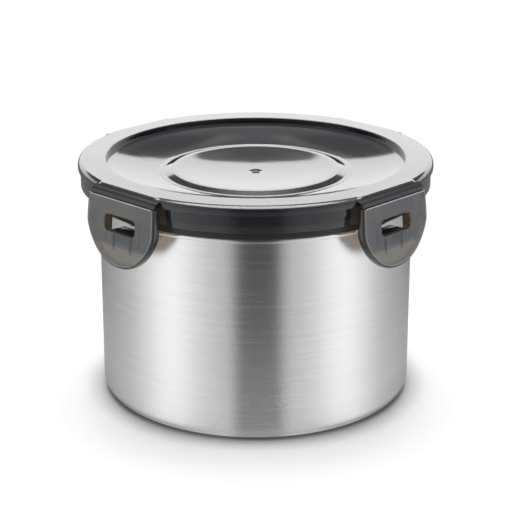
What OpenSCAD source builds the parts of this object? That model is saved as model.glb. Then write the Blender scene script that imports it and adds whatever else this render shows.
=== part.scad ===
// Round food canister: a drawn steel cup closed by a moulded lid with a
// soft seal and four snap clips on living hinges.
// Millimetres. The cup stands on z = 0 and the clips point along X and Y.

/* [Cup] */
// Outside diameter of the cup's wall
cup_d = 133; // [110:1:180]
// Height of the cup to the top of its rolled rim
cup_h = 87.2; // [60:0.2:140]
// Thickness of the drawn steel
steel = 0.7; // [0.5:0.1:1.2]
// Outside radius of the corner between base and wall
base_corner = 5.5; // [3:0.5:10]
// Diameter of the rolled rim
roll_d = 2.4; // [2:0.1:4]

/* [Lid] */
// How far the lid's outside stands out past the cup's wall, all round
lid_overhang = 8.5; // [8:0.1:12]
// Height of the lid's top face above the cup's rolled rim
lid_rise = 15; // [14.6:0.1:18]
// Height of the lip that runs round the top face
lip_h = 3.8; // [3:0.1:5]
// How far the skirt sits back from the lip
skirt_step = 1; // [0.6:0.1:1.6]
// Depth of the skirt's lower edge below the top face
skirt_h = 11; // [10:0.1:11.4]
// Wall thickness of the lid's panel
lid_wall = 2; // [1.6:0.1:2.4]
// Width of the flat top face
rim_w = 11.8; // [11:0.1:13]
// Depth of the plug wall's lower edge below the cup's rolled rim
plug_reach = 3.6; // [2:0.1:6]
// Clearance between the plug wall and the inside of the cup
plug_gap = 0.7; // [0.3:0.1:1]
// Thickness of the plug wall
plug_wall = 2.1; // [1.6:0.1:2.6]

/* [Sunk panel] */
// Depth of the panel at its outer edge
panel_edge_depth = 2.6; // [2.2:0.1:4.6]
// Depth of the panel where it meets the middle boss
panel_foot_depth = 6.4; // [5.7:0.1:7]
// Radius of the middle boss at its foot
boss_r = 37; // [30:0.5:43]
// Width of the flat apron round that foot
boss_apron_w = 2.5; // [1:0.1:4]
// Width of the rounded ring on the boss
boss_ring_w = 6; // [5:0.5:12]
// Depth of the top of that ring
boss_ring_depth = 5.45; // [4:0.05:5.6]
// Depth of the dished middle at its edge
dish_edge_depth = 5.75; // [5.6:0.05:6.5]
// Depth of the dished middle at its centre
dish_depth = 7.4; // [6:0.1:8]
// Diameter of the moulding gate's mark in the centre
gate_d = 5.6; // [3:0.1:8]

/* [Seal] */
// Height of the seal ring
seal_h = 5.6; // [4.6:0.1:6.4]
// Clearance round the seal ring in its channel
seal_gap = 0.1; // [0.05:0.05:0.3]
// Clearance between the relaxed seal and the rolled rim
seal_rest_gap = 0.3; // [0.2:0.05:0.5]
// How far the channel's two ledges reach over the seal
seal_ledge = 1.3; // [0.8:0.1:2]

/* [Clips] */
// Depth of the pocket in the skirt behind each clip
pocket_in = 1.4; // [1:0.1:1.8]
// Distance of the lid's flats inside its round outline
flat_inset = 2.2; // [1.6:0.1:3]
// Depth below the top face of the crease where a clip hangs
crease_drop = 3.65; // [3.5:0.05:4.2]
// Outside radius of the living hinge's bend
bend_r = 2.9; // [2.4:0.1:3.2]
// Thickness of the living hinge
hinge_t = 0.8; // [0.5:0.1:1]
// Width of the living hinge
hinge_w = 37.4; // [30:0.2:38]
// Distance of the living hinge behind the clip's face
hinge_set = 0.8; // [0.4:0.1:1]
// Width of a clip along its hinge
clip_top_w = 38.6; // [34:0.2:42]
// Width of a clip where it is widest
clip_w = 39.4; // [36:0.2:44]
// Length of a clip from its hinge to its tip
clip_len = 27.5; // [26:0.1:32]
// Distance from the hinge to where the clip is widest
clip_shoulder = 10.8; // [8:0.2:13]
// Angle at which a closed clip leans out, in degrees
clip_lean = 5.5; // [4:0.5:10]
// Thickness of a clip's plate
clip_t = 2; // [1.6:0.1:2.4]
// Depth of the edge that is turned in round a clip
clip_edge = 3.4; // [2.8:0.1:3.6]
// Width of that edge
clip_edge_w = 1.6; // [1.2:0.1:2.2]
// Width of the slot
slot_w = 17.8; // [16:0.2:22]
// Height of the slot
slot_h = 6.8; // [6:0.1:7.2]
// Distance from the hinge to the slot's upper edge
slot_drop = 6.5; // [6:0.1:7.5]
// Depth of the cheeks on either side of the slot
cheek_d = 4.4; // [3.6:0.1:4.6]
// Width of the hook bar along its upper edge
hook_w = 13; // [10:0.5:16]
// Height of the hook bar
hook_h = 3.4; // [2.6:0.1:4.4]
// Clearance between the hook's edge and the rolled rim
hook_gap = 0.4; // [0.3:0.05:0.8]
// Clearance between a hinge strip and its clip
hinge_gap = 0.05; // [0.03:0.01:0.1]

/* [Hidden] */

$fn = 180;
eps = 0.01;
// Margin by which a cutting body passes the faces that it cuts
cut = 1;

// Cup: radii of its wall, its mouth and its rolled rim
cup_r = cup_d / 2;
mouth_r = cup_r - steel;
roll_r = roll_d / 2;
roll_c = [mouth_r + roll_r, cup_h - roll_r];
rim_out_r = mouth_r + roll_d;
// Angle at which the rim's curl ends, just short of the wall
curl_end = -100;

// Lid: radii and depths of its outline
lid_r = cup_r + lid_overhang;
lid_top = cup_h + lid_rise;
skirt_r = lid_r - skirt_step;
recess_r = lid_r - rim_w;
plug_r = mouth_r - plug_gap;
plug_depth = lid_rise + plug_reach;
// Roundings of the top face's outer edge, of the small edges and of the panel's foot
edge_round = 0.9;
small_round = 0.4;
fillet = 1.2;
plug_chamfer = 0.8;

// Seal channel between the plug wall and the skirt
seal_low = lid_rise - seal_rest_gap;
seal_top = seal_low - seal_h;
channel_top = seal_top - seal_gap;
// Depth of the hollow over the seal
channel_roof = 2.4;

// Pockets behind the clips, and the flats that carry the hinges
pocket_wall = 1;
pocket_clear = 3.4;
pocket_r = skirt_r - pocket_in;
pocket_angle = atan((clip_w / 2 + pocket_clear) / skirt_r);
skirt_in_r = pocket_r - pocket_wall;
flat_x = lid_r - flat_inset;

// Seal
seal_in_r = plug_r + seal_gap;
seal_out_r = skirt_in_r - seal_gap;

// Sunk panel: share of its fall that is curved, and the boss ring's shoulders
panel_curve = 0.35;
panel_foot_r = boss_r + boss_apron_w;
panel_run = recess_r - fillet - panel_foot_r;
panel_mid_r = panel_foot_r + panel_run / 2;
panel_fall = panel_foot_depth - panel_edge_depth;
shoulder_w = 1;
shoulder_drop = 0.15;
boss_slope_w = 2.8;
dish_r = boss_r - boss_ring_w - shoulder_w;
gate_rise = 0.35;

// Hinge bend: its centre lies on the flat, level with the crease
bend_z = lid_top - crease_drop;

// Clip: where it hangs, and the length of its rounded part
face_x = flat_x + bend_r + hinge_set;
clip_z = bend_z - hinge_gap;
tail = clip_len - clip_shoulder;
// Powers that shape its round end: lower is more pointed
tip_power = 1.4;
side_power = 2.2;
// The plate is thicker from the hinge down to this distance
thick_part = 18.8;
thick_extra = 0.5;

// Slot, cheeks, hook bar and ribs
slot_low = slot_drop + slot_h;
slot_corner = 1.2;
cheek_t = 1.4;
cheek_top = slot_drop + 1;
bar_w = slot_w + cheek_t;
hook_rise = 0.7;
hook_nose = 1.4;
hook_x = rim_out_r + hook_gap;
hook_d = (face_x - hook_x + (slot_low - hook_rise) * sin(clip_lean)) / cos(clip_lean);
rib_t = 1.2;
rib_s = 5;
rib_h = 4;
rib_d = 2.6;
rib_lap = 1;

// Points of an arc about c from angle a to angle b, in n steps
function arc(c, r, a, b, n = 6) =
    [for (i = [0:n]) c + r * [cos(a + (b - a) * i / n), sin(a + (b - a) * i / n)]];

// Depth of the sunk panel outside the boss: it steepens towards the rim
function panel_z(r) =
    let (v = (r - panel_foot_r) / panel_run)
    -panel_foot_depth + panel_fall * ((1 - panel_curve) * v + panel_curve * v * v);

// Depth of the dished middle
function dish_z(r) = -dish_depth + (dish_depth - dish_edge_depth) * pow(r / dish_r, 2);

// Half width of a clip at a distance d below its hinge, drawn in by inset
function clip_half(d, inset = 0) = d < clip_shoulder
    ? clip_top_w / 2 + (clip_w - clip_top_w) / 2 * sin(90 * d / clip_shoulder) - inset
    : (clip_w / 2 - inset) * pow(max(0, 1 - pow((d - clip_shoulder) / (tail - inset), tip_power)),
        1 / side_power);

// Upper surface of the panel, from the centre out to the sunk wall
function panel_top() = concat(
    [for (i = [0:6]) let (r = dish_r * i / 6) [r, dish_z(r)]],
    [[dish_r + shoulder_w, -boss_ring_depth - shoulder_drop]],
    [[dish_r + 2 * shoulder_w, -boss_ring_depth]],
    [[boss_r - boss_slope_w - shoulder_w, -boss_ring_depth]],
    [[boss_r - boss_slope_w, -boss_ring_depth - shoulder_drop]],
    [[boss_r, -panel_foot_depth]],
    [for (i = [0:6]) let (r = panel_foot_r + panel_run * i / 6) [r, panel_z(r)]],
    arc([recess_r - fillet, panel_z(recess_r - fillet) + fillet], fillet, -60, 0, 3));

// Lower surface of the panel, from the plug wall in to the centre
function panel_under() = concat(
    [[plug_r - plug_wall, panel_z(recess_r - fillet) - lid_wall - fillet]],
    [[plug_r - plug_wall - fillet, panel_z(recess_r - fillet) - lid_wall]],
    [[panel_mid_r, panel_z(panel_mid_r) - lid_wall]],
    [[panel_foot_r, -panel_foot_depth - lid_wall]],
    [[boss_r - boss_ring_w, -dish_edge_depth - lid_wall]],
    [[dish_r / 2, dish_z(dish_r / 2) - lid_wall]],
    [[0, -dish_depth - lid_wall]]);

module cup_section() {
    inner_corner = base_corner - steel;
    polygon(concat(
        [[0, 0]],
        arc([cup_r - base_corner, base_corner], base_corner, -90, 0, 8),
        arc(roll_c, roll_r - steel, 180, curl_end, 12),
        arc(roll_c, roll_r, curl_end, 180, 18),
        arc([cup_r - base_corner, base_corner], inner_corner, 0, -90, 8),
        [[0, steel]]));
}

module cup() {
    color([0.72, 0.72, 0.73]) rotate_extrude() cup_section();
}

module lid_section() {
    ledge_in_r = plug_r + seal_ledge;
    ledge_out_r = skirt_in_r - seal_ledge;
    polygon(concat(
        panel_top(),
        arc([recess_r + small_round, -small_round], small_round, 180, 90, 3),
        arc([lid_r - edge_round, -edge_round], edge_round, 90, 0, 5),
        arc([lid_r - small_round, small_round - lip_h], small_round, 0, -90, 3),
        [[skirt_r, -lip_h]],
        arc([skirt_r - small_round, small_round - skirt_h], small_round, 0, -90, 3),
        [[skirt_in_r, -skirt_h]],
        [[skirt_in_r, -channel_top]],
        [[ledge_out_r, -channel_top]],
        [[ledge_out_r, -channel_roof]],
        [[ledge_in_r, -channel_roof]],
        [[ledge_in_r, -channel_top]],
        [[plug_r, -channel_top]],
        [[plug_r, plug_chamfer - plug_depth]],
        [[plug_r - plug_chamfer, -plug_depth]],
        [[plug_r - plug_wall, -plug_depth]],
        panel_under()));
}

// Ring sector that thins the skirt behind one clip
module clip_pocket() {
    rotate([0, 0, -pocket_angle])
        rotate_extrude(angle = 2 * pocket_angle)
            translate([pocket_r, -skirt_h - cut])
                square([lid_overhang, skirt_h + cut - lip_h]);
}

// Flat that carries one clip's hinge
module hinge_flat() {
    translate([flat_x, -lid_r, -lip_h - eps])
        cube([lid_overhang, 2 * lid_r, lip_h + cut]);
}

module lid() {
    color([0.24, 0.25, 0.27, 0.9]) translate([0, 0, lid_top]) {
        difference() {
            rotate_extrude() lid_section();
            for (a = [0:90:270]) rotate([0, 0, a]) {
                clip_pocket();
                hinge_flat();
            }
        }
        translate([0, 0, -dish_depth - lid_wall / 2])
            cylinder(d = gate_d, h = lid_wall / 2 + gate_rise);
    }
}

module seal() {
    color([0.1, 0.1, 0.11]) translate([0, 0, lid_top - seal_low])
        rotate_extrude() translate([seal_in_r, 0])
            square([seal_out_r - seal_in_r, seal_h]);
}

// Outline of a clip, hanging from its hinge at y = 0
module clip_outline(inset = 0, steps = 26) {
    reach = clip_len - inset;
    side = [for (i = [0:steps]) let (d = reach * (1 - pow(1 - i / steps, 2)))
        [clip_half(d, inset), -d]];
    polygon(concat(side, [for (i = [steps - 1:-1:0]) [-side[i].x, side[i].y]]));
}

// Upright slab with a clip's outline, from depth a to depth b behind its face
module clip_slab(a, b, inset = 0) {
    translate([-b, 0, 0]) rotate([90, 0, 90])
        linear_extrude(b - a) clip_outline(inset);
}

module clip_shell() {
    clip_slab(0, clip_t);
    difference() {
        clip_slab(clip_t - eps, clip_edge);
        clip_slab(clip_t - cut, clip_edge + cut, clip_edge_w);
    }
    intersection() {
        clip_slab(clip_t - eps, clip_t + thick_extra, clip_edge_w / 2);
        translate([-clip_edge, -clip_w, -thick_part])
            cube([clip_edge, 2 * clip_w, thick_part]);
    }
}

module slot_cut() {
    translate([-cheek_d - cut, 0, -slot_drop - slot_h / 2]) rotate([90, 0, 90])
        linear_extrude(cheek_d + 2 * cut) {
            square([slot_w, slot_h - 2 * slot_corner], center = true);
            square([slot_w - 2 * slot_corner, slot_h], center = true);
            for (y = [-1, 1], z = [-1, 1])
                translate([y * (slot_w / 2 - slot_corner), z * (slot_h / 2 - slot_corner)])
                    circle(slot_corner, $fn = 32);
        }
}

// Walls on either side of the slot, from the plate back to the hook bar's ends
module cheeks() {
    for (side = [-1, 1])
        translate([-cheek_d, side * bar_w / 2 - cheek_t / 2, -slot_low - hook_h])
            cube([cheek_d - clip_t + eps, cheek_t, slot_low + hook_h - cheek_top]);
}

// Bar below the slot whose edge catches the rolled rim; its ends slope away
module hook_bar() {
    intersection() {
        rotate([90, 0, 0]) linear_extrude(bar_w, center = true) polygon([
            [eps - clip_t, -slot_low],
            [-hook_d, hook_rise - slot_low],
            [-hook_d, hook_rise - hook_nose - slot_low],
            [eps - clip_t, -slot_low - hook_h]]);
        translate([-hook_d - cut, 0, 0]) rotate([90, 0, 90]) linear_extrude(hook_d) polygon([
            [-hook_w / 2, hook_rise - slot_low + eps],
            [hook_w / 2, hook_rise - slot_low + eps],
            [bar_w / 2, -slot_low - hook_h],
            [-bar_w / 2, -slot_low - hook_h]]);
    }
}

// Two short ribs that brace the hook bar against the plate
module ribs() {
    for (side = [-1, 1])
        translate([-rib_d, side * rib_s - rib_t / 2, -slot_low - hook_h - rib_h + rib_lap])
            cube([rib_d - clip_t + eps, rib_t, rib_h]);
}

module clip(turn) {
    color([0.33, 0.33, 0.33, 0.9]) rotate([0, 0, turn])
        translate([face_x, 0, clip_z]) rotate([0, -clip_lean, 0]) {
            difference() {
                union() {
                    clip_shell();
                    cheeks();
                }
                slot_cut();
            }
            hook_bar();
            ribs();
        }
}

// Living hinge: a thin strip bent a quarter turn from the lid's flat to the clip
module hinge(turn) {
    color([0.2, 0.2, 0.22, 0.9]) rotate([0, 0, turn])
        translate([flat_x, 0, bend_z]) rotate([90, 0, 0])
            linear_extrude(hinge_w, center = true) intersection() {
                difference() {
                    circle(bend_r);
                    circle(bend_r - hinge_t);
                }
                square(bend_r + 1);
            }
}

cup();
lid();
seal();
clip(0);  // clip_right
clip(90);  // clip_rear
clip(180);  // clip_left
clip(270);  // clip_front
hinge(0);  // hinge_right
hinge(90);  // hinge_rear
hinge(180);  // hinge_left
hinge(270);  // hinge_front
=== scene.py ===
import math

import bmesh
import bpy
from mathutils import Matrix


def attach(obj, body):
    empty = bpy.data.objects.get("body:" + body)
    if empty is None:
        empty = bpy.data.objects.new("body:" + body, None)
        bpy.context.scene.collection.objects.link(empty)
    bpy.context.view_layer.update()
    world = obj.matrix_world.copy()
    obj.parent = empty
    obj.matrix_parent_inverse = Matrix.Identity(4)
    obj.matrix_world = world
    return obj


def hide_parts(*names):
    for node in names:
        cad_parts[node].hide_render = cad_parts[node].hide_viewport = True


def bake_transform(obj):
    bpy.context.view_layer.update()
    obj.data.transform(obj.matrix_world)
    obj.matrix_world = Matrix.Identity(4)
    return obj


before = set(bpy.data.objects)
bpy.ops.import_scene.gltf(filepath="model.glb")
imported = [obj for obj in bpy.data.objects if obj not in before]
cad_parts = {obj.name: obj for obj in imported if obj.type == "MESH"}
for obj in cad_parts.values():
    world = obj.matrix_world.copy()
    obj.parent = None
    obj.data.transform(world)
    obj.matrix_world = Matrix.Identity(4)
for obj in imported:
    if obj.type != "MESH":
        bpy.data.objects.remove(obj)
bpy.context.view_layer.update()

# Cup
# Drawn in one piece from 0.7 mm stainless steel. Its mouth is rolled outwards into
# a bead, and the outside is brushed on a lathe, so that every scratch runs level.
MM, WELD = 0.001, 0.000001
cup_r, cup_h, steel, base_corner, bead_r, roll_end = 66.5, 87.2, 0.7, 5.5, 1.2, -100


def arc(centre, radius, start, stop, steps):
    """Points on an arc, with its angles in degrees."""
    angles = [math.radians(start + (stop - start) * i / steps) for i in range(steps + 1)]
    return [(centre[0] + radius * math.cos(a), centre[1] + radius * math.sin(a)) for a in angles]


def tree_of(name, inputs, nodes, links):
    """A Geometry Nodes tree with named inputs, and one output for the finished piece."""
    tree = bpy.data.node_groups.new(name, "GeometryNodeTree")
    for label, kind, value in inputs:
        socket = tree.interface.new_socket(label, in_out="INPUT", socket_type="NodeSocket" + kind)
        if value is not None:
            socket.default_value = value
    tree.interface.new_socket("Piece", in_out="OUTPUT", socket_type="NodeSocketGeometry")
    made = {label: tree.nodes.new(kind) for label, kind in nodes.items()}
    for giver, leaving, taker, entering in links:
        tree.links.new(made[giver].outputs[leaving], made[taker].inputs[entering])
    return tree, made


def turning_tree():
    """Sweeps a section round the upright axis, as a lathe or a round mould does."""
    inputs = (
        ("Section", "Geometry", None),
        ("Path radius", "Float", 0.05),
        ("Sides", "Int", 256),
        ("Corner angle", "Float", 0.6),
        ("Finish", "Material", None),
    )
    nodes = {
        "in": "NodeGroupInput",
        "section": "GeometryNodeMeshToCurve",
        "path": "GeometryNodeCurvePrimitiveCircle",
        "sweep": "GeometryNodeCurveToMesh",
        "close": "GeometryNodeMergeByDistance",
        "edge": "GeometryNodeInputMeshEdgeAngle",
        "hard": "FunctionNodeCompare",
        "shade": "GeometryNodeSetShadeSmooth",
        "real": "GeometryNodeRealizeInstances",
        "paint": "GeometryNodeSetMaterial",
        "out": "NodeGroupOutput",
    }
    links = (
        ("in", "Section", "section", 0),
        ("in", "Path radius", "path", "Radius"),
        ("in", "Sides", "path", "Resolution"),
        ("path", 0, "sweep", 0),
        ("section", 0, "sweep", 1),
        ("sweep", 0, "close", "Geometry"),
        ("edge", "Unsigned Angle", "hard", 0),
        ("in", "Corner angle", "hard", 1),
        ("close", 0, "shade", "Geometry"),
        ("hard", 0, "shade", "Selection"),
        ("shade", 0, "real", 0),
        ("real", 0, "paint", "Geometry"),
        ("in", "Finish", "paint", "Material"),
        ("paint", 0, "out", 0),
    )
    tree, made = tree_of("Turned about the axis", inputs, nodes, links)
    made["close"].inputs["Distance"].default_value = WELD
    made["shade"].domain = "EDGE"
    made["shade"].inputs["Shade Smooth"].default_value = False
    return tree


def shaped(name, verts, faces, edges=()):
    """A mesh object from points in millimetres."""
    mesh = bpy.data.meshes.new(name)
    mesh.from_pydata([tuple(c * MM for c in v) for v in verts], edges, faces)
    piece = bpy.data.objects.new(name, mesh)
    bpy.context.scene.collection.objects.link(piece)
    return piece


def applied(piece, tree, inputs):
    """Runs a node tree on a piece with these inputs, and keeps the result as plain mesh."""
    modifier = piece.modifiers.new(tree.name, "NODES")
    modifier.node_group = tree
    for item in tree.interface.items_tree:
        if item.in_out == "INPUT" and item.name in inputs:
            modifier[item.identifier] = inputs[item.name]
    piece.data.update()
    bpy.context.view_layer.update()
    view = bpy.context.evaluated_depsgraph_get()
    piece_mesh = bpy.data.meshes.new_from_object(piece.evaluated_get(view))
    piece.modifiers.clear()
    old, piece.data = piece.data, piece_mesh
    bpy.data.meshes.remove(old)
    piece.data.name = piece.name
    return piece


def turned(name, section, finish, sides):
    """A piece of revolution from a section of (radius, height) points, outside last."""
    path_r = 50
    points = [(r - path_r, -z, 0) for r, z in section]
    chain = [(i, i + 1) for i in range(len(points) - 1)]
    piece = shaped(name, points, [], chain)
    return applied(piece, turning, {"Path radius": path_r * MM, "Sides": sides, "Finish": finish})


class Value:
    """A number that a finish works out. Each sum or product adds its Math node."""

    def __init__(self, finish, socket):
        self.finish, self.socket = finish, socket

    def math(self, operation, *others):
        return self.finish.node("Math", {"operation": operation}, dict(enumerate((self, *others))))

    def __add__(self, other):
        return self.math("ADD", other)

    def __mul__(self, other):
        return self.math("MULTIPLY", other)

    def __sub__(self, other):
        return self.math("SUBTRACT", other)

    def __rsub__(self, other):
        return self.finish.node("Math", {"operation": "SUBTRACT"}, {0: other, 1: self})

    def __truediv__(self, other):
        return self.math("DIVIDE", other)

    def __rtruediv__(self, other):
        return self.finish.node("Math", {"operation": "DIVIDE"}, {0: other, 1: self})

    def __pow__(self, other):
        return self.math("POWER", other)

    __radd__, __rmul__ = __add__, __mul__


class Finish:
    """The nodes of one material, or of the studio round the canister."""

    def __init__(self, name, owner=None):
        self.owner = owner or bpy.data.materials.new(name)
        self.owner.use_nodes = True
        self.tree = self.owner.node_tree
        self.tree.nodes.clear()

    def node(self, kind, settings, sockets, out=0):
        """Adds a node. Its settings come first, then the values or links of its sockets."""
        node = self.tree.nodes.new("ShaderNode" + kind)
        for key, value in settings.items():
            if key == "stops":
                ramp = node.color_ramp
                while len(ramp.elements) < len(value):
                    ramp.elements.new(0.5)
                for stop, (place, colour) in zip(ramp.elements, value):
                    stop.position, stop.color = place, (*colour, 1)
            else:
                setattr(node, key, value)
        for key, value in sockets.items():
            socket = node.inputs[key]
            if isinstance(value, Value):
                self.tree.links.new(value.socket, socket)
            else:
                socket.default_value = value
        return Value(self, node.outputs[out]) if out is not None else node

    def place(self, stretch):
        """Where a point is on the piece, stretched for a pattern."""
        spot = self.node("TexCoord", {}, {}, "Object")
        return self.node("VectorMath", {"operation": "MULTIPLY"}, {0: spot, 1: stretch})

    def noise(self, stretch, detail, bend=0.0):
        """Cloudy variation from 0 to 1, with this many waves to a metre each way."""
        sockets = {"Vector": self.place(stretch), "Scale": 1.0, "Detail": detail,
                   "Roughness": 0.6, "Distortion": bend}
        return self.node("TexNoise", {}, sockets, "Fac")

    def between(self, share, one, two):
        """One colour at share 0, the other at share 1."""
        sockets = {0: share, 6: one if isinstance(one, Value) else (*one, 1), 7: (*two, 1)}
        return self.node("Mix", {"data_type": "RGBA"}, sockets, 2)

    def relief(self, height, strength, depth):
        """The normal that a fine relief of this depth gives."""
        sockets = {"Strength": strength, "Distance": depth, "Height": height}
        return self.node("Bump", {}, sockets)

    def done(self, shader):
        """Puts the shader on the finish, and gives the finished material or world."""
        kind = "OutputWorld" if isinstance(self.owner, bpy.types.World) else "OutputMaterial"
        self.node(kind, {}, {"Surface": shader}, None)
        return self.owner


def soft_step(m, value, low, high, at_low=0.0, at_high=1.0):
    """Goes smoothly from one level to the other while a value passes from low to high."""
    sockets = {0: value, 1: low, 2: high, 3: at_low, 4: at_high}
    return m.node("MapRange", {"interpolation_type": "SMOOTHSTEP"}, sockets)


def parts_of(m, vector):
    """The three numbers in a vector."""
    split = m.node("SeparateXYZ", {}, {0: vector}, None)
    return [Value(m, split.outputs[i]) for i in range(3)]


def brushed_steel():
    """Level brush lines: fine ones, broader ones, and faint cloudy tone."""
    m = Finish("Brushed stainless steel")
    dull, bright = (0.535, 0.535, 0.54), (0.715, 0.715, 0.72)
    fine = m.noise((14, 14, 4200), detail=2.0)
    broad = m.noise((7, 7, 620), detail=3.0)
    cloud = m.noise((14, 14, 26), detail=2.0)
    lines = fine * 0.6 + broad * 0.4
    return m.done(m.node("BsdfPrincipled", {}, {
        "Base Color": m.between(lines * 0.75 + cloud * 0.25, dull, bright),
        "Metallic": 1.0, "Roughness": lines * 0.20 + cloud * 0.03 + 0.13,
        "Anisotropic": 0.75, "Anisotropic Rotation": 0.25,
        "Normal": m.relief(lines, strength=0.05, depth=0.02 * MM),
    }))


turning = turning_tree()
bead_centre = (cup_r - steel + bead_r, cup_h - bead_r)
corner_centre = (cup_r - base_corner, base_corner)
cup_section = (
    [(0, steel)]
    + arc(corner_centre, base_corner - steel, -90, 0, 8)
    + arc(bead_centre, bead_r, 180, roll_end, 28)
    + arc(bead_centre, bead_r - steel, roll_end, 180, 16)
    + arc(corner_centre, base_corner, 0, -90, 14)
    + [(0, 0)]
)
cup = turned("steel_cup", cup_section, brushed_steel(), sides=320)
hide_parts("cup")
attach(cup, "cup")

# Seal ring
# Moulded from soft black silicone. It lies in the lid's channel over the bead, held
# by the channel's two ledges, and its lower outer edge shows under the skirt.
lid_top = 102.2
seal_in_r, seal_mid_r, seal_out_r, seal_top, seal_low = 65.2, 67.5, 71.5, 9.1, 14.7


def bent(points, steps=5):
    """A path of (x, y, corner radius) points with its corners rounded."""
    path = []
    last = len(points) - 1
    for i, (x, y, radius) in enumerate(points):
        if i in (0, last) or radius == 0:
            path.append((x, y))
            continue
        back = (points[i - 1][0] - x, points[i - 1][1] - y)
        ahead = (points[i + 1][0] - x, points[i + 1][1] - y)
        p, q = math.hypot(*back), math.hypot(*ahead)
        u, v = (back[0] / p, back[1] / p), (ahead[0] / q, ahead[1] / q)
        half = math.acos(max(-1, min(1, u[0] * v[0] + u[1] * v[1]))) / 2
        cut = min(radius / math.tan(half), 0.49 * p, 0.49 * q)
        for k in range(steps + 1):
            t = k / steps
            w = (1 - t) ** 2, 2 * t * (1 - t), t * t
            path.append((
                w[0] * (x + u[0] * cut) + w[1] * x + w[2] * (x + v[0] * cut),
                w[0] * (y + u[1] * cut) + w[1] * y + w[2] * (y + v[1] * cut),
            ))
    return path


def silicone():
    """Matt black silicone with the faint drag lines of its mould."""
    m = Finish("Black silicone")
    clean, dusty = (0.009, 0.009, 0.010), (0.022, 0.022, 0.024)
    drag = m.noise((60, 60, 900), detail=3.0)
    dust = m.noise((420, 420, 420), detail=2.0)
    return m.done(m.node("BsdfPrincipled", {}, {
        "Base Color": m.between(dust, clean, dusty),
        "Roughness": drag * 0.2 + 0.34, "Specular IOR Level": 0.4,
        "Normal": m.relief(drag, strength=0.15, depth=0.03 * MM),
    }))


seal_section = bent([
    (seal_mid_r, lid_top - seal_top, 0),
    (seal_in_r, lid_top - seal_top, 0.3),
    (seal_in_r, lid_top - seal_low, 0.5),
    (seal_out_r, lid_top - seal_low, 1.1),
    (seal_out_r, lid_top - seal_top, 0.4),
    (seal_mid_r, lid_top - seal_top, 0),
])
seal = turned("seal_ring", seal_section, silicone(), sides=256)
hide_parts("seal")
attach(seal, "lid")

# Lid
# One injection moulding in smoke-grey clear plastic, polished in its mould: a flat
# top with a lip, a sunk panel with a raised ring and a dish, a skirt and a plug wall.
lid_r, lip_h, rim_round, skirt_r, skirt_h, recess_r = 75, 3.8, 2.2, 74, 11, 63.2
flat_x, pocket_r, pocket_half = 72.8, 72.6, 17.33
panel_edge, panel_foot, boss_r, foot_r = 2.6, 6.4, 38.8, 41.2
ring_depth, ring_in_r, ring_out_r = 5.45, 33.4, 35.5
dish_r, dish_edge, dish_depth, gate_r, gate_sunk = 30, 5.75, 7.4, 3.0, 0.24
plug_r, plug_wall, plug_depth, lid_wall = 65.1, 2.1, 18.6, 2
channel_in_r, channel_out_r, channel_top, ledge, skirt_in_r = 66.4, 70.3, 2.4, 9, 71.6
pocket_ease, flat_ease, flat_blend, flat_crisp = 0.4, 0.6, 0.2, 0.7


def panel_depth(r):
    """Depth of the sunk panel between the boss and the sunk wall, on a slope that steepens."""
    top_r, straight = recess_r - 1.2, 0.65
    run = (r - foot_r) / (top_r - foot_r)
    return panel_foot - (panel_foot - panel_edge) * (straight * run + (1 - straight) * run * run)


def dish_curve(r):
    """Depth of the dish, deepest in the middle."""
    return dish_depth - (dish_depth - dish_edge) * (r / dish_r) ** 2


def band(m, value, low, high, soft=0.25):
    """1 while a value lies between low and high, with soft ends, and 0 elsewhere."""
    return soft_step(m, value, low - soft, low + soft) * soft_step(m, value, high + soft, high - soft)


def smoke_plastic(name, light, dark, clear, thin=(), grain=0.045):
    """Polished clear plastic, tinted grey, with flow ripples and a little handling haze.
    It is paler in given bands of height."""
    m = Finish(name)
    flow = m.noise((38, 38, 60), detail=2.0, bend=0.4)
    haze = m.noise((130, 130, 130), detail=4.0)
    colour = m.between(haze * 0.6 + flow * 0.4, dark, light)
    for low, high, tint in thin:
        height = parts_of(m, m.place((1 / MM, 1 / MM, 1 / MM)))[2]
        colour = m.between(band(m, height, low, high, soft=0.3), colour, tint)
    return m.done(m.node("BsdfPrincipled", {}, {
        "Base Color": colour,
        "Roughness": haze * 0.05 + grain, "IOR": 1.53,
        "Alpha": clear, "Normal": m.relief(flow, strength=0.2, depth=0.4 * MM),
    }))


# The section's points are (radius, depth under the top face, corner radius).
pit_depth, pit_wall = dish_depth + gate_sunk, 0.6
gate_points = [
    (0, pit_depth, 0), (gate_r - 1.6, pit_depth, 0.2), (gate_r, dish_depth + 0.02, 0.5),
    (gate_r + pit_wall, dish_curve(gate_r + pit_wall), 0),
]
dish_rs = [0.97 * dish_r * i / 12 for i in range(2, 13)]
dish_points = [(r, dish_curve(r), 0) for r in dish_rs]
boss_points = [
    (ring_in_r, ring_depth + 0.02, 1.2), (ring_out_r, ring_depth, 1.1), (boss_r, panel_foot - 0.03, 1.0),
    (boss_r + 1.5, panel_foot - 0.06, 0.5), (foot_r, panel_foot, 0.6),
]
slope_points = [(r, panel_depth(r), 0) for r in (43, 46, 49, 52, 55, 58, 61, 62.6)]
wall_points = [(recess_r, panel_edge - 0.1, 0), (recess_r, 0.8, 0), (recess_r, 0, 0.45)]
top_points = [(r, 0, 0) for r in (64.3, 70.4, 72.7)]
rim_arc = arc((lid_r - rim_round, 0), rim_round, 90, 0, 8)
rim_points = [(r, rim_round - rise, 0) for r, rise in rim_arc]
skirt_points = [
    (lid_r, lip_h, 0.45), (skirt_r, lip_h, 0.15), (skirt_r, skirt_h, 0.4),
    (skirt_in_r, skirt_h, 0.2), (skirt_in_r, ledge, 0),
]
channel_points = [
    (channel_out_r, ledge, 0), (channel_out_r, channel_top, 0),
    (channel_in_r, channel_top, 0), (channel_in_r, ledge, 0),
]
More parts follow.
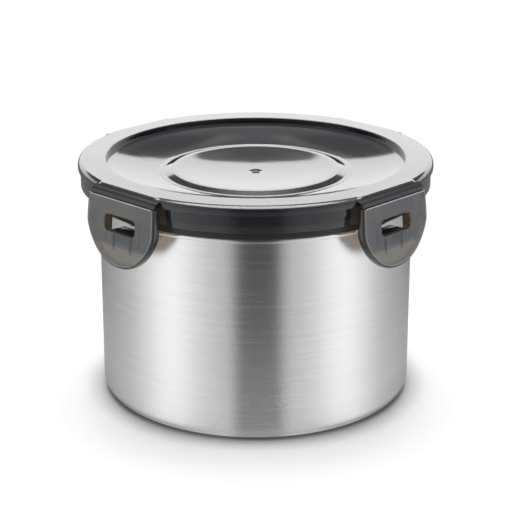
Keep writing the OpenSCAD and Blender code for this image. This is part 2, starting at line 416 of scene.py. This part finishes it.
plug_points = [
    (plug_r, ledge, 0), (plug_r, plug_depth, 0.8), (plug_r - plug_wall, plug_depth, 0.6),
    (plug_r - plug_wall, panel_edge + lid_wall, 1.2),
]
under_points = [
    (50.7, panel_depth(50.7) + lid_wall, 3), (foot_r, panel_foot + lid_wall, 1),
    (31, dish_edge + lid_wall, 1), (15, dish_curve(15) + lid_wall, 2), (0, dish_depth + lid_wall, 0),
]
lid_section = bent(
    gate_points + dish_points + boss_points + slope_points + wall_points + top_points
    + rim_points + skirt_points + channel_points + plug_points + under_points
)


def eased(share):
    """A share held between 0 and 1, with a soft start and end."""
    share = min(1, max(0, share))
    return share * share * (3 - 2 * share)


def lid_point(r, depth, turn):
    """Draws the outside in to the pockets and to the flats, where the rim is hardly rounded."""
    off = abs((turn + 45) % 90 - 45)
    skirt = skirt_r + (pocket_r - skirt_r) * eased((pocket_half + pocket_ease - off) / (2 * pocket_ease))
    on_rim = r > lid_r - rim_round - 0.3 and depth <= lip_h + 0.001
    on_skirt = r > skirt_in_r + 0.1 and depth > lip_h - 0.2
    if on_rim:
        over = lid_r - flat_x / math.cos(math.radians(off))
        crisp = 1 - flat_crisp * eased(over / flat_ease)
        drawn = lid_r - (over + math.hypot(over, flat_blend)) / 2 - (lid_r - r) * crisp
        if depth < rim_round + 0.01:
            return drawn, depth * crisp
        return (drawn if depth < lip_h - 0.5 else max(drawn, skirt)), depth
    if on_skirt:
        return min(r, skirt), depth
    return r, depth


def lid_turns(plain=288):
    """Angles round the lid: even ones, and closer ones where the flats and the pockets end."""
    flat_ends = [11.5 + 0.4 * k for k in range(13)]
    pocket_ends = [pocket_half - pocket_ease + 0.2 * k for k in range(5)]
    turns = {round(360 * i / plain, 3) for i in range(plain)}
    for clip in (0, 90, 180, 270):
        for off in flat_ends + pocket_ends:
            turns |= {round((clip + off) % 360, 3), round((clip - off) % 360, 3)}
    return sorted(turns)


def lid_shell(name, section):
    """The lid's closed skin, one column of points for each angle round it."""
    turns = lid_turns()
    verts, faces, rows = [], [], len(section)
    for turn in turns:
        a = math.radians(turn)
        for point in section:
            r, depth = lid_point(*point, turn)
            verts.append((r * math.cos(a), r * math.sin(a), lid_top - depth))
    for i in range(len(turns)):
        here, after = i * rows, (i + 1) % len(turns) * rows
        faces += [(here + k, here + k + 1, after + k + 1, after + k) for k in range(rows - 1)]
    return shaped(name, verts, faces)


def settled(piece, corner=40):
    """Merges doubles, points the faces outwards and keeps corners over an angle hard."""
    form = bmesh.new()
    form.from_mesh(piece.data)
    bmesh.ops.remove_doubles(form, verts=form.verts, dist=WELD)
    bmesh.ops.dissolve_degenerate(form, dist=WELD / 10, edges=form.edges)
    bmesh.ops.recalc_face_normals(form, faces=form.faces)
    for face in form.faces:
        face.smooth = True
    for edge in form.edges:
        edge.smooth = edge.calc_face_angle(0) < math.radians(corner)
    form.to_mesh(piece.data)
    form.free()
    return piece


hem_h = 2.6
lip_band = (lid_top - lip_h + 0.2, lid_top - rim_round, (0.040, 0.041, 0.047))
hem_band = (lid_top - skirt_h, lid_top - skirt_h + hem_h, (0.042, 0.042, 0.042))
lid_finish = smoke_plastic(
    "Smoke-grey plastic, thick", light=(0.028, 0.029, 0.036), dark=(0.017, 0.018, 0.023),
    clear=0.92, thin=(lip_band, hem_band),
)
lid = settled(lid_shell("lid_moulding", lid_section))
lid.data.materials.append(lid_finish)
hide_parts("lid")
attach(lid, "lid")

# Gate mark
# The pip of plastic torn off short where the melt came in, standing in the small round
# pit that the mould leaves in the middle of the dish.
pip_r, pip_h, pip_root, pit_floor = 1.5, 0.3, 0.3, lid_top - dish_depth - gate_sunk
pip_section = bent([
    (0, pit_floor + pip_h / 2, 0),
    (0.5, pit_floor + 0.8 * pip_h, 0.1),
    (0.8 * pip_r, pit_floor + pip_h, 0.15),
    (pip_r, pit_floor - pip_root, 0),
    (0, pit_floor - pip_root, 0),
])
torn_finish = smoke_plastic(
    "Smoke-grey plastic, torn", light=(0.030, 0.030, 0.034), dark=(0.018, 0.018, 0.021),
    clear=0.95, grain=0.4,
)
pip = turned("gate_pip", pip_section, torn_finish, sides=32)
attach(pip, "lid")

# Clips
# Four flaps of the same plastic, 2 mm thick with an edge turned in all round. Each has
# a slot that lets it flex, cheeks beside the slot and a hook bar braced by two ribs.
face_x, clip_z, lean = 76.5, 98.5, 5.5
clip_top_w, clip_w, clip_len, shoulder = 38.6, 39.4, 27.5, 10.8
clip_t, edge_d, edge_w, edge_round = 2.0, 3.4, 1.6, 1.0
slot_w, slot_h, slot_drop, slot_corner = 17.8, 6.8, 6.5, 1.9
slot_mid, slot_low = -slot_drop - slot_h / 2, slot_drop + slot_h
cheek_t, cheek_d = 1.4, 4.4
hook_w, hook_h, hook_nose, hook_rise, hook_tip_r = 13, 3.4, 1.4, 0.7, 68.6
pad_low, pad_t, rib_t, rib_h, rib_d, rib_gap = 18.8, 0.5, 1.2, 4, 1.0, 10


def clip_outline(inset, low=clip_len):
    """Outline of a clip as (across, up) points, drawn in by inset, cut off at low."""
    reach, steps = clip_len - inset, 60
    side = []
    for i in range(steps + 1):
        down = min(reach * (1 - (1 - i / steps) ** 2), low)
        if down < shoulder:
            flare = (clip_w - clip_top_w) * math.sin(math.pi / 2 * down / shoulder)
            half = (clip_top_w + flare) / 2 - inset
        else:
            run = (down - shoulder) / (reach - shoulder)
            half = (clip_w / 2 - inset) * max(0, 1 - run ** 1.4) ** (1 / 2.2)
        side.append((half, -down))
    return side + [(-x, y) for x, y in reversed(side)]


def slot_outline(grow):
    """The slot's rounded outline, grown by a little."""
    w, h, c = slot_w / 2 + grow, slot_h / 2 + grow, slot_corner + grow
    points = []
    for x, y, start in ((1, 1, 0), (-1, 1, 90), (-1, -1, 180), (1, -1, 270)):
        points += arc((x * (w - c), slot_mid + y * (h - c)), c, start, start + 90, 5)
    return points


def cast(outline, rays):
    """Where each ray from the slot's middle meets an outline."""
    found = []
    for a in rays:
        dx, dy = math.cos(a), math.sin(a)
        best = 0
        for i in range(len(outline)):
            (x1, y1), (x2, y2) = outline[i - 1], outline[i]
            ex, ey = x2 - x1, y2 - y1
            det = ex * dy - ey * dx
            if abs(det) < 1e-9:
                continue
            t = (ex * (y1 - slot_mid) - ey * x1) / det
            s = (dx * (y1 - slot_mid) - dy * x1) / det
            if t > 0 and -1e-6 <= s <= 1 + 1e-6:
                best = max(best, t)
        found.append((best * dx, slot_mid + best * dy))
    return found


def rings_joined(form, rings, paint):
    """Quads between closed rings of (depth behind the face, points), painted ring by ring."""
    made = [[form.verts.new((-depth * MM, x * MM, z * MM)) for x, z in points]
            for depth, points in rings]
    for i, ring in enumerate(made):
        after = made[(i + 1) % len(made)]
        for k in range(len(ring)):
            face = form.faces.new((ring[k - 1], ring[k], after[k], after[k - 1]))
            face.material_index = paint[min(i, len(paint) - 1)]
    return made


def block(form, corners, soften, paint):
    """A six-sided block from two rings of four corners, its edges eased."""
    verts = [form.verts.new(tuple(c * MM for c in corner)) for corner in corners]
    faces = [form.faces.new([verts[i] for i in f]) for f in
             ((0, 1, 2, 3), (7, 6, 5, 4), (0, 4, 5, 1), (1, 5, 6, 2), (2, 6, 7, 3), (3, 7, 4, 0))]
    for face in faces:
        face.material_index = paint
    edges = {e for f in faces for e in f.edges}
    bmesh.ops.bevel(form, geom=list(edges), offset=soften * MM, segments=2,
                    affect="EDGES", profile=0.5)


face_paint, edge_paint, back_paint, painted_glow_paint = range(4)
painted_shade_aside = 2.2


def clip_form(aside):
    """One clip, upright, with its hinge edge on the Y axis and its face towards +X.
    The painted shade of what lies behind the plate sits on its face a little aside."""
    form = bmesh.new()
    rim = form.verts.layers.float.new("rim")
    hinge_ends = [(clip_top_w / 2, 0), (-clip_top_w / 2, 0)]
    rays = {round(math.radians(3 * i), 4) for i in range(120)}
    for x, y in hinge_ends + slot_outline(0):
        rays.add(round(math.atan2(y - slot_mid, x) % (2 * math.pi), 4))
    rays = sorted(rays)

    def ring(depth, outline):
        return depth, cast(outline, rays)

    # From the slot over the face, round the turned-in edge and along the back to the slot again.
    rings = [ring(0, slot_outline(0.35)), ring(0, clip_outline(edge_round + 0.6))]
    rings += [ring(edge_round * (1 - math.cos(a)), clip_outline(edge_round * (1 - math.sin(a))))
              for a in (math.pi / 12 * k for k in range(7))]
    rings += [
        ring(edge_d - 0.5, clip_outline(0)), ring(edge_d - 0.1, clip_outline(0.15)),
        ring(edge_d, clip_outline(0.45)), ring(edge_d, clip_outline(edge_w - 0.3)),
        ring(edge_d - 0.3, clip_outline(edge_w)), ring(clip_t + 0.4, clip_outline(edge_w)),
        ring(clip_t, clip_outline(edge_w + 0.4)), ring(clip_t, slot_outline(0)),
        ring(0.3, slot_outline(0)), ring(0.08, slot_outline(0.1)),
    ]
    paint = (face_paint,) * 2 + (edge_paint,) * 10 + (back_paint,) * 3 + (painted_glow_paint, back_paint)
    made = rings_joined(form, rings, paint)

    # The painted highlight where the face turns over, all round but for the hinge edge.
    for vert in made[2]:
        if vert.co.z < -0.5 * MM:
            vert[rim] = 1.0

    # The pad that thickens the upper part of the plate, behind it.
    rings_joined(form, [
        ring(clip_t - 0.01, clip_outline(edge_w + 0.1, pad_low)),
        ring(clip_t + pad_t, clip_outline(edge_w + 0.3, pad_low)),
        ring(clip_t + pad_t, slot_outline(0)), ring(clip_t - 0.01, slot_outline(0)),
    ], (back_paint, painted_glow_paint, back_paint))

    # The cheeks beside the slot, and the hook bar between them.
    root = 0.1 - clip_t
    wide = (slot_w + cheek_t) / 2
    for side in (-1, 1):
        low, high = -slot_low - hook_h, -slot_drop - 1
        corners = [(x, side * wide + s * cheek_t / 2, z) for x in (-cheek_d, root)
                   for s, z in ((-1, low), (1, low), (1, high), (-1, high))]
        block(form, corners, 0.2, back_paint)
    tilt, top = math.radians(lean), hook_rise - slot_low
    hook_d = (face_x - hook_tip_r - top * math.sin(tilt)) / math.cos(tilt)

    def half_width(z):
        return hook_w / 2 + (wide - hook_w / 2) * (top - z) / (hook_rise + hook_h)

    section = ((root, -slot_low), (-hook_d, top), (-hook_d, top - hook_nose), (root, -slot_low - hook_h))
    block(form, [(x, s * half_width(z), z) for s in (-1, 1) for x, z in section], 0.25, edge_paint)
    across = form.loops.layers.uv.new("Across and down")
    for face in form.faces:
        for loop in face.loops:
            loop[across].uv = (loop.vert.co.y / MM - aside, -loop.vert.co.z / MM)
    return form


def clip_plastic():
    """The plate of a clip: its tint, with the lit steel behind painted in where it is thin, painted shade for
    the parts behind it and painted highlights on its edges.
    """
    m = Finish("Smoke-grey plastic, thin plate")
    thin_plate_painted_light, padded_plate = (0.198, 0.196, 0.186), (0.098, 0.110, 0.140)
    warm_flow, pale_cloud = (0.19, 0.178, 0.14), (0.30, 0.30, 0.30)
    shadowed, painted_highlight = (0.04, 0.038, 0.04), (0.72, 0.71, 0.72)
    hook_low = slot_low + hook_h
    u, v, _ = parts_of(m, m.node("UVMap", {"uv_map": "Across and down"}, {}))
    side = u.math("ABSOLUTE")

    flow = m.noise((30, 30, 45), detail=3.0, bend=0.5)
    cloud = m.noise((90, 90, 60), detail=3.0)
    # Painted light: the thin lower plate is lighter and warmer than the padded part, the plastic's tint with
    # the lit steel behind it painted in.
    padded = soft_step(m, v, pad_low - 0.2, pad_low + 0.2, 1.0, 0.0)
    colour = m.between(padded, thin_plate_painted_light, padded_plate)
    colour = m.between(soft_step(m, flow, 0.42, 0.68) * 0.6, colour, warm_flow)
    colour = m.between(soft_step(m, cloud, 0.5, 0.75) * 0.4, colour, pale_cloud)

    # Painted shade: the hook bar, cheeks, ribs and the pad's lower step, which lie behind the plate, are
    # painted dark on its face.
    bar = band(m, v, slot_low + 0.1, hook_low, 0.5) * soft_step(m, side, 5.6, 5.0)
    spread = side + (v - hook_low) * 0.05
    ribs = band(m, spread, (rib_gap - rib_t) / 2, (rib_gap + rib_t) / 2)
    ribs = ribs * band(m, v, slot_low + 0.6, hook_low + rib_h - 0.4, 0.4)
    cheeks = band(m, side, slot_w / 2 + 0.1, slot_w / 2 + cheek_t, 0.3)
    cheeks = cheeks * band(m, v, slot_drop + 0.6, hook_low, 0.5)
    step = band(m, v, pad_low - 0.12, pad_low + 0.12, 0.2)
    behind = (bar * 0.35 + cheeks * 0.22).math("MAXIMUM", ribs * 0.9).math("MAXIMUM", step * 0.6)
    colour = m.between(behind, colour, shadowed)

    # Painted highlights: a bright line along the turned edge and another along the top edge by the hinge.
    rim = m.node("Attribute", {"attribute_name": "rim"}, {}, "Fac")
    line = soft_step(m, rim, 0.35, 0.7) * 0.5
    painted_crease_highlight = soft_step(m, v, 0.6, 0.25)
    colour = m.between(line.math("MAXIMUM", painted_crease_highlight), colour, painted_highlight)
    return m.done(m.node("BsdfPrincipled", {}, {
        "Base Color": colour, "Roughness": flow * 0.06 + 0.06, "IOR": 1.53,
        "Alpha": 0.88, "Normal": m.relief(flow, strength=0.15, depth=0.3 * MM),
    }))


def painted_through_glow():
    """The inner face of the plate, with a warm painted glow standing in for the light that comes through it.
    """
    m = Finish("Smoke-grey plastic, painted glow")
    bright, dim = (0.60, 0.44, 0.31), (0.50, 0.38, 0.28)
    mottle = m.noise((120, 120, 120), detail=2.0)
    # Painted glow: the emission paints light passing through the plate; the part is no lamp.
    return m.done(m.node("BsdfPrincipled", {}, {
        "Base Color": (0.20, 0.15, 0.10, 1), "Roughness": 0.15, "IOR": 1.53, "Alpha": 0.8,
        "Emission Color": m.between(mottle, bright, dim), "Emission Strength": 0.7,
    }))


def clip_tree():
    """Adds a clip's row of ribs, leans it, hangs it on its hinge and turns it to its side."""
    inputs = (
        ("Clip", "Geometry", None),
        ("Ribs", "Int", 2),
        ("Rib size", "Vector", (rib_d * MM, rib_t * MM, rib_h * MM)),
        ("First rib", "Vector", (0, 0, 0)),
        ("Rib step", "Vector", (0, rib_gap * MM, 0)),
        ("Hinge edge", "Vector", (0, 0, 0)),
        ("Lean", "Vector", (0, 0, 0)),
        ("Side", "Vector", (0, 0, 0)),
        ("Rib finish", "Material", None),
    )
    nodes = {
        "in": "NodeGroupInput",
        "row": "GeometryNodeMeshLine",
        "rib": "GeometryNodeMeshCube",
        "set": "GeometryNodeInstanceOnPoints",
        "join": "GeometryNodeJoinGeometry",
        "hang": "GeometryNodeTransform",
        "turn": "GeometryNodeTransform",
        "real": "GeometryNodeRealizeInstances",
        "paint": "GeometryNodeSetMaterial",
        "out": "NodeGroupOutput",
    }
    links = (
        ("in", "Ribs", "row", "Count"),
        ("in", "First rib", "row", "Start Location"),
        ("in", "Rib step", "row", "Offset"),
        ("in", "Rib size", "rib", "Size"),
        ("row", 0, "set", "Points"),
        ("rib", 0, "paint", "Geometry"),
        ("in", "Rib finish", "paint", "Material"),
        ("paint", 0, "set", "Instance"),
        ("set", 0, "join", 0),
        ("in", "Clip", "join", 0),
        ("join", 0, "hang", "Geometry"),
        ("in", "Lean", "hang", "Rotation"),
        ("in", "Hinge edge", "hang", "Translation"),
        ("hang", 0, "turn", "Geometry"),
        ("in", "Side", "turn", "Rotation"),
        ("turn", 0, "real", 0),
        ("real", 0, "out", 0),
    )
    return tree_of("Ribbed clip in place", inputs, nodes, links)[0]


hanging = clip_tree()
edge_finish = smoke_plastic(
    "Smoke-grey plastic, clip edge", light=(0.042, 0.042, 0.046), dark=(0.022, 0.022, 0.025), clear=0.93,
)
# The inside faces are tan: the plastic's warm tint, lightened by painted light standing in for light that
# passes through the plate.
back_finish = smoke_plastic(
    "Smoke-grey plastic, clip inside", light=(0.22, 0.165, 0.10), dark=(0.10, 0.075, 0.048), clear=0.8,
)
clip_finishes = (clip_plastic(), edge_finish, back_finish, painted_through_glow())
sides = (("right", 0), ("rear", 90), ("left", 180), ("front", 270))
rib_x, rib_z = 0.1 - clip_t - rib_d / 2, 1 - slot_low - hook_h - rib_h / 2
for side, turn in sides:
    clip = shaped("clip_" + side + "_flap", [], [])
    form = clip_form(painted_shade_aside if side in ("front", "rear") else -painted_shade_aside)
    form.to_mesh(clip.data)
    form.free()
    for finish in clip_finishes:
        clip.data.materials.append(finish)
    applied(clip, hanging, {
        "First rib": (rib_x * MM, -rib_gap / 2 * MM, rib_z * MM), "Hinge edge": (face_x * MM, 0, clip_z * MM),
        "Lean": (0, math.radians(-lean), 0), "Side": (0, 0, math.radians(turn)), "Rib finish": edge_finish,
    })
    settled(clip, 35)
    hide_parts("clip_" + side)
    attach(clip, "clip_" + side)

# Living hinges
# Where the same moulding thins to 0.8 mm, a strip bends over from the lid's flat to
# each clip. It flexes along its whole bend each time the clip is opened.
bend_r, strip_t, bend_z, strip_half = 2.9, 0.8, 98.55, 18.7
strip_sunk, end_round, bend_steps = 0.02, 0.25, 12


def strip_shell(turn):
    """Points and faces of a strip that bends a quarter turn, its ends eased, turned to its side."""
    a = math.radians(turn)
    centre = (flat_x - strip_sunk, bend_z)
    loop = arc(centre, bend_r, 90, 0, bend_steps) + arc(centre, bend_r - strip_t, 0, 90, bend_steps)
    ends = ((-strip_half, end_round), (end_round - strip_half, 0), (0, 0),
            (strip_half - end_round, 0), (strip_half, end_round))
    verts, faces, count = [], [], len(loop)
    for y, shrink in ends:
        for k, (x, z) in enumerate(loop):
            radius = math.hypot(x - flat_x, z - bend_z)
            scale = (radius - shrink if k <= bend_steps else radius + shrink) / radius
            x2, z2 = flat_x + (x - flat_x) * scale, bend_z + (z - bend_z) * scale
            verts.append((x2 * math.cos(a) - y * math.sin(a), x2 * math.sin(a) + y * math.cos(a), z2))
    for i in range(len(ends) - 1):
        for k in range(count):
            n = (k + 1) % count
            faces.append((i * count + k, i * count + n, (i + 1) * count + n, (i + 1) * count + k))
    for first in (0, (len(ends) - 1) * count):
        for k in range(bend_steps):
            opposite = count - 1 - k
            faces.append((first + k, first + k + 1, first + opposite - 1, first + opposite))
    return verts, faces


for side, turn in sides:
    strip = settled(shaped("hinge_" + side + "_strip", *strip_shell(turn)), 35)
    strip.data.materials.append(lid_finish)
    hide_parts("hinge_" + side)
    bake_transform(strip)

# Studio
# A pale sweep for a floor, and soft light from all round: a dark strip by the viewer, tall
# light panels on either side, and a low bright panel behind, under a wall that has two
# warm patches by its middle and dims towards its corners.
strip_turn, room_turn = math.radians(-44.6), math.radians(-46)
# (share of the turn from the dark strip to the opposite side, brightness there)
glow_stops = (
    (0.0, 0.06), (0.06, 0.065), (0.083, 0.16), (0.105, 0.37), (0.14, 0.54), (0.2, 0.62),
    (0.27, 0.82), (0.33, 1.02), (0.4, 1.07), (0.45, 0.94), (0.5, 0.78), (0.58, 0.56),
    (0.66, 0.41), (0.75, 0.33), (0.86, 0.22), (1.0, 0.14),
)


def level_length(x, y):
    """Length of a vector as seen from above, never quite nought."""
    return (x * x + y * y + 1e-9) ** 0.5


def toward_strip(x, y):
    """Cosine of the turn about the upright axis from the dark strip."""
    return (x * math.cos(strip_turn) + y * math.sin(strip_turn)) / level_length(x, y)


def side_panels(m, x, y, near):
    """Brightness all round, as an upright wall shows it; near is its radius over the distance."""
    wall_turn = toward_strip(x, y).math("ARCCOSINE") / (2 - near)
    stops = [(place, (v, v, v)) for place, v in glow_stops]
    return m.node("ValToRGB", {"stops": stops}, {"Fac": wall_turn / (math.pi / 2)}) * 1.4


def ray_kinds(m):
    """Whether a ray shows gloss, and whether it is the viewer's own, straight or through plastic."""
    path = m.node("LightPath", {}, {}, None)
    camera, glossy, through = (
        Value(m, path.outputs["Is " + kind + " Ray"]) for kind in ("Camera", "Glossy", "Transmission")
    )
    return glossy, camera.math("MAXIMUM", through)


def studio():
    """The light by its direction: white to the viewer, even to matt faces, and panels to gloss."""
    world = bpy.data.worlds.new("Studio")
    m = Finish("Studio", world)
    x, y, z = parts_of(m, m.node("TexCoord", {}, {}, "Generated"))
    behind = soft_step(m, toward_strip(x, y), -0.1, -0.35)
    panel = behind * soft_step(m, z, 0.37, 0.352) * soft_step(m, z, -0.02, 0.02)
    panel_light = z * 3.5 + 2.05

    across = x * math.sin(room_turn) - y * math.cos(room_turn)
    aside = (across / level_length(x, y)).math("ABSOLUTE")
    low = soft_step(m, z, 0.60, 0.54)
    warm = soft_step(m, aside, 0.010, 0.020) * soft_step(m, aside, 0.033, 0.027) * low
    low_corners = soft_step(m, aside, 0.029, 0.038) * low * 0.8
    high_corners = soft_step(m, aside, 0.070, 0.100) * soft_step(m, z, 0.80, 0.72)
    dim = low_corners.math("MAXIMUM", high_corners)
    far_wall = behind * soft_step(m, z, 0.44, 0.6, 0.22, 0.5) * (1 + warm * 0.9 - dim * 0.65)
    around = side_panels(m, x, y, 0) * soft_step(m, z, 0.2, 0.6, 1.0, 0.5) + far_wall
    ceiling = soft_step(m, z, 0.62, 0.76, 0.0, 1.4) + soft_step(m, z, 0.85, 0.91, 0.0, 10.0)
    glow = around * (1 - panel) + panel * panel_light + ceiling

    fill = 0.25
    glossy, shown = ray_kinds(m)
    level = shown + (1 - shown) * (glossy * glow + (1 - glossy) * fill)
    tint = m.between(warm * glossy * (1 - panel), (1, 1, 1), (1, 0.93, 0.85))
    m.done(m.node("Background", {}, {"Color": tint, "Strength": level}))
    world.cycles.sampling_method = "NONE"
    bpy.context.scene.world = world


def pale_floor():
    """A matt sweep with a painted shadow where it meets the cup. Gloss sees the room's light on it instead,
    with painted light and painted shadow near the cup.
    """
    m = Finish("Pale floor")
    x, y, _ = parts_of(m, m.node("TexCoord", {}, {}, "Object"))
    far = level_length(x, y)
    near = (cup_r * MM / far).math("MINIMUM", 1.0)
    # What gloss sees: painted light near the cup and in front of it, and painted shadow that darkens towards
    # the cup and where it meets the floor.
    front = soft_step(m, toward_strip(x, y), 0.85, 0.98)
    painted_spill_light = soft_step(m, far, 0.23, 0.065, 0.0, 0.30) + front * soft_step(m, far, 0.083, 0.068, 0.0, 0.22)
    spread = soft_step(m, far, 0.068, 0.088, 0.8, 1.0)
    painted_contact_shadow = soft_step(m, far, 0.0655, 0.0705, 0.5, 1.0)
    painted_contact_shadow = painted_contact_shadow + (1 - painted_contact_shadow) * front
    glow = (side_panels(m, x, y, near) * (1 - painted_spill_light) + painted_spill_light) * spread * painted_contact_shadow

    glossy, shown = ray_kinds(m)
    # Painted shadow: the matt colour darkens and the white lift falls off where the floor meets the cup.
    painted_seam_shadow = soft_step(m, far, 0.0634, 0.0668)
    pale = m.between(painted_seam_shadow, (0.25, 0.25, 0.25), (0.56, 0.56, 0.56))
    white = m.node("BsdfDiffuse", {}, {"Color": m.between(1 - shown, pale, (0.93, 0.93, 0.93))})
    lift = shown * soft_step(m, far, 0.060, 0.079, 0.0, 0.48) * (painted_seam_shadow * 0.6 + 0.4)
    lifted = m.node("Emission", {}, {"Color": (1, 1, 1, 1), "Strength": lift})
    plain = m.node("AddShader", {}, {0: white, 1: lifted})
    seen = m.node("Emission", {}, {"Color": (1, 1, 1, 1), "Strength": glow})
    material = m.done(m.node("MixShader", {}, {0: glossy, 1: plain, 2: seen}))
    material.cycles.emission_sampling = "NONE"
    return material


studio()
floor_half = 4000
floor_corners = [(x * floor_half, y * floor_half, 0) for x, y in ((-1, -1), (1, -1), (1, 1), (-1, 1))]
floor = shaped("floor", floor_corners, [(0, 1, 2, 3)])
floor.data.materials.append(pale_floor())

lamp = bpy.data.lights.new("Overhead", "SUN")
lamp.energy, lamp.angle = 2.4, math.radians(32)
overhead = bpy.data.objects.new("Overhead", lamp)
overhead.rotation_euler = (math.radians(8), 0, math.radians(225))
overhead.visible_glossy = False
bpy.context.scene.collection.objects.link(overhead)

lens = bpy.data.cameras.new("Camera")
lens.sensor_width, lens.lens, lens.shift_x = 36, 116.32, 0.0006
camera = bpy.data.objects.new("Camera", lens)
camera.location = (0.46996, -0.48614, 0.28974)
camera.rotation_euler = (math.radians(70.988), 0, math.radians(44.03))
bpy.context.scene.collection.objects.link(camera)
bpy.context.scene.camera = camera
bpy.context.scene.view_settings.view_transform = "Standard"
